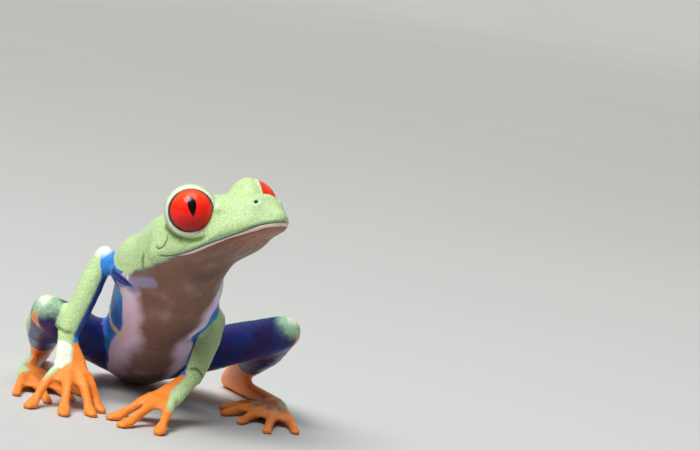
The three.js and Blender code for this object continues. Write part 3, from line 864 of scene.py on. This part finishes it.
class Nodes:
    """Short ways to add and join shader nodes."""

    def __init__(self, name):
        self.material = bpy.data.materials.new(name)
        self.material.use_nodes = True
        self.tree = self.material.node_tree
        self.shader = self.tree.nodes["Principled BSDF"]

    def feed(self, socket, value):
        if isinstance(value, bpy.types.NodeSocket):
            self.tree.links.new(value, socket)
        elif isinstance(value, (tuple, list)) and len(value) == 3 and socket.type == "RGBA":
            socket.default_value = (*value, 1)
        else:
            socket.default_value = value

    def add(self, kind, output, given, **settings):
        """A new node with values given to its inputs. Returns the output that is asked for."""
        node = self.tree.nodes.new(kind)
        for key, value in settings.items():
            setattr(node, key, value)
        for key, value in given.items():
            self.feed(node.inputs[key], value)
        return node.outputs[output]

    def maths(self, operation, a, b=0.0, clamp=False):
        return self.add("ShaderNodeMath", 0, {0: a, 1: b}, operation=operation, use_clamp=clamp)

    def times(self, a, b):
        return self.maths("MULTIPLY", a, b)

    def ramp(self, value, low, high, to_low=0.0, to_high=1.0):
        given = dict(enumerate((value, low, high, to_low, to_high)))
        return self.add("ShaderNodeMapRange", 0, given, interpolation_type="SMOOTHSTEP")

    def mix(self, share, a, b):
        return self.add("ShaderNodeMix", 2, {0: share, 6: a, 7: b}, data_type="RGBA")

    def noise(self, vector, scale, detail=2.0, roughness=0.5):
        given = {"Vector": vector, "Scale": scale, "Detail": detail, "Roughness": roughness}
        return self.add("ShaderNodeTexNoise", "Fac", given)

    def cells(self, vector, scale, feature):
        given = {"Vector": vector, "Scale": scale}
        return self.add("ShaderNodeTexVoronoi", "Distance", given, feature=feature)

    def attribute(self, name):
        return self.add("ShaderNodeAttribute", "Fac", {}, attribute_name=name)

    def places(self):
        return self.add("ShaderNodeTexCoord", "Object", {})

    def bump(self, height, strength, distance, **before):
        given = {"Strength": strength, "Distance": distance, "Height": height} | before
        return self.add("ShaderNodeBump", 0, given)

    def set(self, **values):
        for key, value in values.items():
            self.feed(self.shader.inputs[key.replace("_", " ")], value)


def skin_material(settings):
    """Granular skin whose colours follow the painted fields, with slightly uneven edges."""
    n = Nodes("frog_skin")
    where = n.places()
    wander = n.times(n.maths("SUBTRACT", n.noise(where, 900, 3), 0.5), 0.9)
    fine = n.noise(where, 2600, 3, 0.6)
    patches = n.noise(where, 260, 3)
    net = n.ramp(n.cells(where, 2300, "DISTANCE_TO_EDGE"), 0.0, 0.16)

    def inside(kind, soft=0.14, rough=0.6):
        field = n.maths("ADD", n.attribute(kind), n.times(wander, rough))
        return n.ramp(field, -soft, soft)

    # Painted light: along its edge towards the blue flanks the belly is painted pale lilac, a lit rim;
    # where the deep kind is high, near the armpit, it turns dark violet instead.
    edge = n.ramp(n.maths("ADD", n.attribute("blue"), n.times(patches, 1.8)), -2.1, -0.4)
    lit_edge_lilac = n.mix(n.ramp(n.attribute("deep"), -1.4, 0.2), (0.92, 0.74, 0.98), (0.30, 0.27, 0.44))
    # Painted shade: the throat, chest and belly are pale skin, painted dark brown-pink in two tones as if
    # shaded.
    venter_light_and_shade = n.mix(patches, settings.belly_colour[:], (0.26, 0.145, 0.11))
    venter_light_and_shade = n.mix(edge, venter_light_and_shade, lit_edge_lilac)
    # Painted shade: orange-brown on the chin.
    venter_light_and_shade = n.mix(n.times(n.attribute("warm"), 0.9), venter_light_and_shade, (0.27, 0.07, 0.015))
    blue = n.mix(n.ramp(patches, 0.35, 0.65), (0.03, 0.30, 0.80), (0.055, 0.16, 0.60))
    dark_blue = n.mix(n.ramp(patches, 0.35, 0.65), (0.014, 0.042, 0.24), (0.034, 0.018, 0.13))
    blue = n.mix(inside("deep", 0.6, 0.8), blue, dark_blue)
    orange = n.mix(fine, settings.orange_colour[:], (1.0, 0.34, 0.06))
    is_orange = inside("orange", 0.35)
    colour = n.mix(is_orange, venter_light_and_shade, orange)
    colour = n.mix(inside("blue", 0.18, 0.4), colour, blue)
    rim = n.ramp(n.attribute("green"), 0.0, 0.45)
    leaf = n.mix(rim, (0.16, 0.50, 0.45), settings.green_colour[:])
    leaf = n.mix(n.ramp(patches, 0.3, 0.7, 0, 0.35), leaf, (0.64, 0.77, 0.34))
    grain = n.mix(n.ramp(fine, 0.35, 0.7, 0, 0.4), leaf, (0.72, 0.90, 0.46))
    # Painted shade: darker green along the fine wrinkles, in the grooves that the bump below sinks there.
    grain = n.mix(n.ramp(net, 0, 1, 0.34, 0), grain, (0.16, 0.34, 0.07))
    colour = n.mix(inside("green", 0.25, 0.4), colour, grain)

    def marked(colour, kind, soft, rough, strength, tone):
        return n.mix(n.times(inside(kind, soft, rough), strength), colour, tone)

    colour = marked(colour, "cream", 0.18, 0.4, 0.9, settings.cream_colour[:])
    # Pale skin on the lids' edges and round the nostrils, and painted highlights on the elbows, knees,
    # hands and outermost fingers.
    colour = marked(colour, "pale", 0.3, 0.25, 0.8, (0.90, 0.93, 0.80))
    colour = marked(colour, "lip", 0.12, 0.1, 0.85, (0.96, 0.80, 0.73))
    # Painted shade: dark olive in the grooves and folds that are marked for it.
    colour = n.mix(n.ramp(n.attribute("hollow"), 0.05, 1, 0, 0.85), colour, (0.13, 0.23, 0.02))
    # Painted shade: near-black in the mouth's slit and the nostrils.
    colour = marked(colour, "crease", 0.06, 0.03, 0.85, (0.05, 0.035, 0.03))

    granules = n.cells(where, 3300, "SMOOTH_F1")
    lumps = n.noise(where, 1400, 3)
    height = n.maths("ADD", n.times(granules, -0.8), n.times(lumps, 0.7))
    height = n.maths("ADD", height, n.times(net, 0.5))
    bumped = n.bump(height, 0.5, 0.00012)
    bumped = n.bump(n.noise(where, 480, 2), 0.25, 0.0004, Normal=bumped)
    roughness = n.ramp(n.noise(where, 700, 2), 0.25, 0.75, 0.38, 0.54)
    roughness = n.maths("SUBTRACT", roughness, n.times(is_orange, 0.12))
    n.set(Base_Color=colour, Roughness=roughness, Normal=bumped, Subsurface_Weight=0.2,
          Subsurface_Scale=0.0008, Coat_Weight=0.1, Coat_Roughness=0.25, Specular_IOR_Level=0.25)
    n.feed(n.shader.inputs["Subsurface Radius"], (1.0, 0.55, 0.35))
    return n.material


def eye_material(side, settings):
    """Red iris with fine rays, an upright slit pupil and a dark border, drawn across the line of sight."""
    n = Nodes(f"frog_eye_{side}")
    centre = (EYES[side] + POSE_ORIGIN) * MM
    gaze = eye_axis(side, *PUPIL_AXIS)
    iris = eye_axis(side, *IRIS_AXIS)
    up = unit(UPWARDS - gaze * (UPWARDS @ gaze))
    lean = math.radians(PUPIL_LEAN) * -SIDES[side]
    up = up * math.cos(lean) + np.cross(up, gaze) * math.sin(lean)
    across = np.cross(up, gaze)
    where = n.places()

    def measured(axis):
        """Millimetres from the ball's centre along an axis."""
        given = {0: where, 1: tuple(axis / MM)}
        along = n.add("ShaderNodeVectorMath", "Value", given, operation="DOT_PRODUCT")
        return n.maths("SUBTRACT", along, float(axis @ centre / MM))

    x, y, depth = measured(across), measured(up), measured(iris)
    # The slit: half its height is pupil_height, and it is widest above its middle.
    level = n.maths("DIVIDE", y, settings.pupil_height / 2)
    round_off = n.maths("SUBTRACT", 1.0, n.times(level, level), clamp=True)
    uneven = n.maths("ADD", 1.0, n.times(level, 0.4))
    swelling = n.times(uneven, settings.pupil_width / 2)
    width = n.times(n.maths("POWER", round_off, 0.85), swelling)
    slit = n.ramp(n.maths("SUBTRACT", width, n.maths("ABSOLUTE", x)), -0.03, 0.05)
    angle = n.maths("ARCCOSINE", n.maths("DIVIDE", depth, EYE_RADIUS, clamp=True))
    turn = n.times(angle, 180 / math.pi)
    far = n.maths("SQRT", n.maths("ADD", n.times(x, x), n.times(y, y)))
    safe = n.maths("MAXIMUM", far, 0.05)
    given = {0: n.maths("DIVIDE", x, safe), 1: n.maths("DIVIDE", y, safe), 2: n.times(far, 0.12)}
    rays = n.noise(n.add("ShaderNodeCombineXYZ", 0, given), 16, 4, 0.6)
    # Painted light and shade on the iris: more orange towards the top, a haze of reflected light, and
    # darker crimson towards the bottom, a shadow.
    red = n.mix(n.ramp(y, -0.4, 2.8), settings.iris_colour[:], (1.0, 0.09, 0.02))
    red = n.mix(n.ramp(rays, 0.4, 0.7, 0, 0.25), red, (1.0, 0.12, 0.02))
    red = n.mix(n.ramp(y, -0.5, -3.0, 0, 0.85), red, (0.30, 0.001, 0.004))
    red = n.mix(n.ramp(turn, 50, 60, 0, 0.4), red, (0.40, 0.004, 0.002))
    dark = n.ramp(turn, IRIS_OPENING[side] - 1.5, IRIS_OPENING[side] + 1.5)
    colour = n.mix(dark, red, (0.012, 0.004, 0.008))
    colour = n.mix(slit, colour, (0.002, 0.002, 0.004))
    n.set(Base_Color=colour, Roughness=0.35, Coat_Weight=0.85, Coat_Roughness=0.08, Coat_IOR=1.33,
          Specular_IOR_Level=0.05)
    return n.material


def plain_material(name, colour, roughness):
    n = Nodes(name)
    where = n.places()
    tone = n.ramp(n.noise(where, 6, 2), 0.3, 0.7)
    n.set(Base_Color=n.mix(tone, tuple(colour), tuple(c * 0.97 for c in colour)), Roughness=roughness)
    return n.material


# ------ settings


def tint(name, description, colour):
    return FloatVectorProperty(name=name, description=description, subtype="COLOR", default=colour)


def measure(name, description, value, **limits):
    return FloatProperty(name=name, description=description, default=value, **limits)


class TreeFrogSkin(bpy.types.PropertyGroup):
    fineness: measure("Fineness", "Edge of the skin's mesh in millimetres", 0.37, min=0.3, max=0.6)
    green_colour: tint("Green", "Back, head and outer limbs", (0.53, 0.71, 0.37))
    # Painted shade: the belly's pale skin is given this dark brown-pink.
    belly_colour: tint("Belly", "Throat, chest and belly", (0.19, 0.10, 0.072))
    orange_colour: tint("Orange", "Hands and feet", (0.98, 0.22, 0.02))
    cream_colour: tint("Cream", "Bars of the flanks", (0.88, 0.76, 0.48))


class TreeFrogEyes(bpy.types.PropertyGroup):
    iris_colour: tint("Iris", "Colour of the iris", (1.0, 0.008, 0.006))
    pupil_width: measure("Pupil width", "In millimetres", 1.2)
    pupil_height: measure("Pupil height", "In millimetres", 3.0)


class TreeFrogStage(bpy.types.PropertyGroup):
    floor_colour: tint("Floor", "Colour of floor and backdrop", (0.56, 0.56, 0.54))
    key_strength: measure("Key light", "Strength of the main light", 2.8)
    top_power: measure("Top light", "Power of the light overhead", 1.3, unit="POWER")


# ------ operators


class TREEFROG_OT_skin(bpy.types.Operator):
    """Makes the one skin that covers all of the frog's flesh"""

    bl_idname = "treefrog.skin"
    bl_label = "Skin"

    def execute(self, context):
        settings = context.scene.tree_frog_skin
        skin = added(context, "skin", made_mesh(joined(sorted(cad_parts), SWELL), "skin"))
        voxels = skin.modifiers.new("voxels", "REMESH")
        voxels.mode = "VOXEL"
        voxels.voxel_size = settings.fineness
        mesh = applied(skin)
        edited(mesh, largest_body)
        sheet = Sheet(mesh)
        even = np.vectorize(EVENING.get)(nearest_kind(sheet.p))
        even = sheet.spread(even[:, None], np.full(len(even), 0.5), 5)[:, 0]
        sheet.relax(even * 0.6, EVENING_ROUNDS)
        sheet.raise_by(np.full(len(sheet.p), -SWELL))
        sheet.normals()
        finer(mesh, near_features(sheet.p, 0.55) | finger_tips(sheet.p))
        sheet = eased(mesh)
        finer(mesh, near_features(sheet.p, 0.05))
        sheet = eased(mesh)
        shape_lids(sheet.p)
        soften_under_eyes(sheet)
        shape_mouth(sheet)
        shape_tympana(sheet)
        shape_nostrils(sheet)
        shape_folds(sheet)
        weight = nearness(sheet.p, FLESH)
        even = weight @ np.array([EVENING[kind_of(name)] for name in FLESH])
        sheet.raise_by(relief(sheet.p) * np.minimum(even * 3, 1))
        sheet.p[:, 2] = np.maximum(sheet.p[:, 2], 0)
        sheet.normals()
        for kind, values in paint(sheet.p, FLESH, weight).items():
            made = mesh.attributes.new(kind, "FLOAT", "POINT")
            made.data.foreach_set("value", values.astype(np.float32))
        mesh.transform(Matrix.Scale(MM, 4) @ Matrix.Translation(Vector(POSE_ORIGIN)))
        mesh.shade_smooth()
        mesh.materials.clear()
        mesh.materials.append(skin_material(settings))
        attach(skin, "root")
        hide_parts(*FLESH)
        return {"FINISHED"}


class TREEFROG_OT_eyes(bpy.types.Operator):
    """Makes the two glossy eyeballs"""

    bl_idname = "treefrog.eyes"
    bl_label = "Eyes"

    def execute(self, context):
        settings = context.scene.tree_frog_eyes
        for side in SIDES:
            bm = bmesh.new()
            bmesh.ops.create_uvsphere(bm, u_segments=72, v_segments=48, radius=EYE_RADIUS * MM)
            for vert in bm.verts:
                ahead = max(0.0, vert.co.z / (EYE_RADIUS * MM))
                vert.co *= 1 + CORNEA_BULGE * ahead ** 4
            place = Matrix.Translation(Vector((EYES[side] + POSE_ORIGIN) * MM))
            turn = facing(eye_axis(side, *IRIS_AXIS), "Z")
            bmesh.ops.transform(bm, matrix=place @ turn, verts=bm.verts)
            mesh = made_mesh(bm, f"eyeball_{side}")
            mesh.shade_smooth()
            mesh.materials.append(eye_material(side, settings))
            eye = added(context, f"eyeball_{side}", mesh)
            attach(eye, "root")
            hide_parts(f"eye_{side}")
        return {"FINISHED"}


CAMERA_AZIMUTH = -11
CAMERA_ELEVATION = 6
CAMERA_ROLL = 9.5
CAMERA_DISTANCE = 400
PIXELS_PER_MM = 6.8
PICTURE = (700, 450)
ORIGIN_IN_PICTURE = (152.9, 420)


def place_camera(context):
    """Looks at the frog from the front, a little above the floor and leaning to the side."""
    a, e, r = (math.radians(x) for x in (CAMERA_AZIMUTH, CAMERA_ELEVATION, CAMERA_ROLL))
    back = v3(math.sin(a) * math.cos(e), -math.cos(a) * math.cos(e), math.sin(e))
    level = v3(math.cos(a), math.sin(a), 0)
    upright = np.cross(back, level)
    right = level * math.cos(r) + upright * math.sin(r)
    top = upright * math.cos(r) - level * math.sin(r)
    turn = np.stack((right, top, back), 1)
    seen = v3(
        (ORIGIN_IN_PICTURE[0] - PICTURE[0] / 2) / PIXELS_PER_MM,
        (PICTURE[1] / 2 - ORIGIN_IN_PICTURE[1]) / PIXELS_PER_MM,
        -CAMERA_DISTANCE,
    )
    data = bpy.data.cameras.new("camera")
    data.sensor_width = 36
    data.lens = data.sensor_width * CAMERA_DISTANCE * PIXELS_PER_MM / PICTURE[0]
    data.clip_start = 0.01
    data.clip_end = 50
    camera = added(context, "camera", data)
    place = (POSE_ORIGIN - turn @ seen) * MM
    camera.matrix_world = Matrix.Translation(Vector(place)) @ Matrix(turn.tolist()).to_4x4()
    context.scene.camera = camera


FLOOR_HALF = 2.5  # metres, as are the other sizes of the stage
BEND_STEPS = 12
BEND_STEP = 0.1
BACKDROP_HEIGHT = 2
KEY_WAY = (0.42, 0.30, -0.86)
KEY_COLOUR = (1, 0.98, 0.95)
KEY_WIDTH = 32  # degrees
TOP_PLACE = (-0.06, -0.06, 0.5)
TOP_AIM = (0, 0, 0.02)
TOP_SIZE = 0.36
TOP_COLOUR = (0.86, 0.93, 1)
SURROUND_COLOUR = (0.9, 0.95, 1, 1)
SURROUND_STRENGTH = 0.18


def place_lights(context, settings):
    """A broad main light from the upper left, a round one overhead and a faint even surround."""
    sun = bpy.data.lights.new("key", "SUN")
    sun.energy = settings.key_strength
    sun.angle = math.radians(KEY_WIDTH)
    sun.color = KEY_COLOUR
    key = added(context, "key", sun)
    key.matrix_world = facing(KEY_WAY)
    disc = bpy.data.lights.new("top", "AREA")
    disc.shape = "DISK"
    disc.size = TOP_SIZE
    disc.energy = settings.top_power
    disc.color = TOP_COLOUR
    top = added(context, "top", disc)
    way = Vector(TOP_AIM) - Vector(TOP_PLACE)
    top.matrix_world = Matrix.Translation(Vector(TOP_PLACE)) @ facing(way)
    world = bpy.data.worlds.new("studio")
    world.use_nodes = True
    colour, strength = world.node_tree.nodes["Background"].inputs[:2]
    colour.default_value = SURROUND_COLOUR
    strength.default_value = SURROUND_STRENGTH
    context.scene.world = world


class TREEFROG_OT_stage(bpy.types.Operator):
    """Makes the floor, the backdrop, the lights and the camera"""

    bl_idname = "treefrog.stage"
    bl_label = "Stage"

    def execute(self, context):
        settings = context.scene.tree_frog_stage
        bm = bmesh.new()
        bmesh.ops.create_grid(bm, x_segments=1, y_segments=1, size=FLOOR_HALF)
        rear = [edge for edge in bm.edges if all(vert.co.y > 0 for vert in edge.verts)]
        bend = [math.radians(90) * (k + 0.5) / BEND_STEPS for k in range(BEND_STEPS)]
        steps = [(0, BEND_STEP * math.cos(turn), BEND_STEP * math.sin(turn)) for turn in bend]
        for step in steps + [(0, 0, BACKDROP_HEIGHT)]:
            made = bmesh.ops.extrude_edge_only(bm, edges=rear)["geom"]
            rear = [item for item in made if isinstance(item, bmesh.types.BMEdge)]
            verts = [item for item in made if isinstance(item, bmesh.types.BMVert)]
            bmesh.ops.translate(bm, vec=step, verts=verts)
        mesh = made_mesh(bm, "floor")
        mesh.shade_smooth()
        mesh.materials.append(plain_material("floor", settings.floor_colour[:], 0.6))
        floor = added(context, "floor", mesh)
        place_lights(context, settings)
        context.scene.view_settings.view_transform = "Standard"
        place_camera(context)
        return {"FINISHED"}


class TREEFROG_PT_panel(bpy.types.Panel):
    """Lists the frog's pieces and their settings"""

    bl_idname = "TREEFROG_PT_panel"
    bl_label = "Tree frog"
    bl_space_type = "VIEW_3D"
    bl_region_type = "UI"
    bl_category = "Tree frog"

    def draw(self, context):
        for operator, _, name in PIECES:
            box = self.layout.box()
            box.operator(operator.bl_idname)
            values = getattr(context.scene, name)
            for setting in values.bl_rna.properties.keys():
                if setting not in ("rna_type", "name"):
                    box.prop(values, setting)


PIECES = (
    (TREEFROG_OT_skin, TreeFrogSkin, "tree_frog_skin"),
    (TREEFROG_OT_eyes, TreeFrogEyes, "tree_frog_eyes"),
    (TREEFROG_OT_stage, TreeFrogStage, "tree_frog_stage"),
)


def register():
    for operator, group, name in PIECES:
        bpy.utils.register_class(group)
        setattr(bpy.types.Scene, name, PointerProperty(type=group))
        bpy.utils.register_class(operator)
    bpy.utils.register_class(TREEFROG_PT_panel)


def unregister():
    bpy.utils.unregister_class(TREEFROG_PT_panel)
    for operator, group, name in reversed(PIECES):
        bpy.utils.unregister_class(operator)
        delattr(bpy.types.Scene, name)
        bpy.utils.unregister_class(group)


def main():
    register()
    bpy.ops.treefrog.stage()
    bpy.ops.treefrog.eyes()
    bpy.ops.treefrog.skin()


if __name__ == "__main__":
    main()
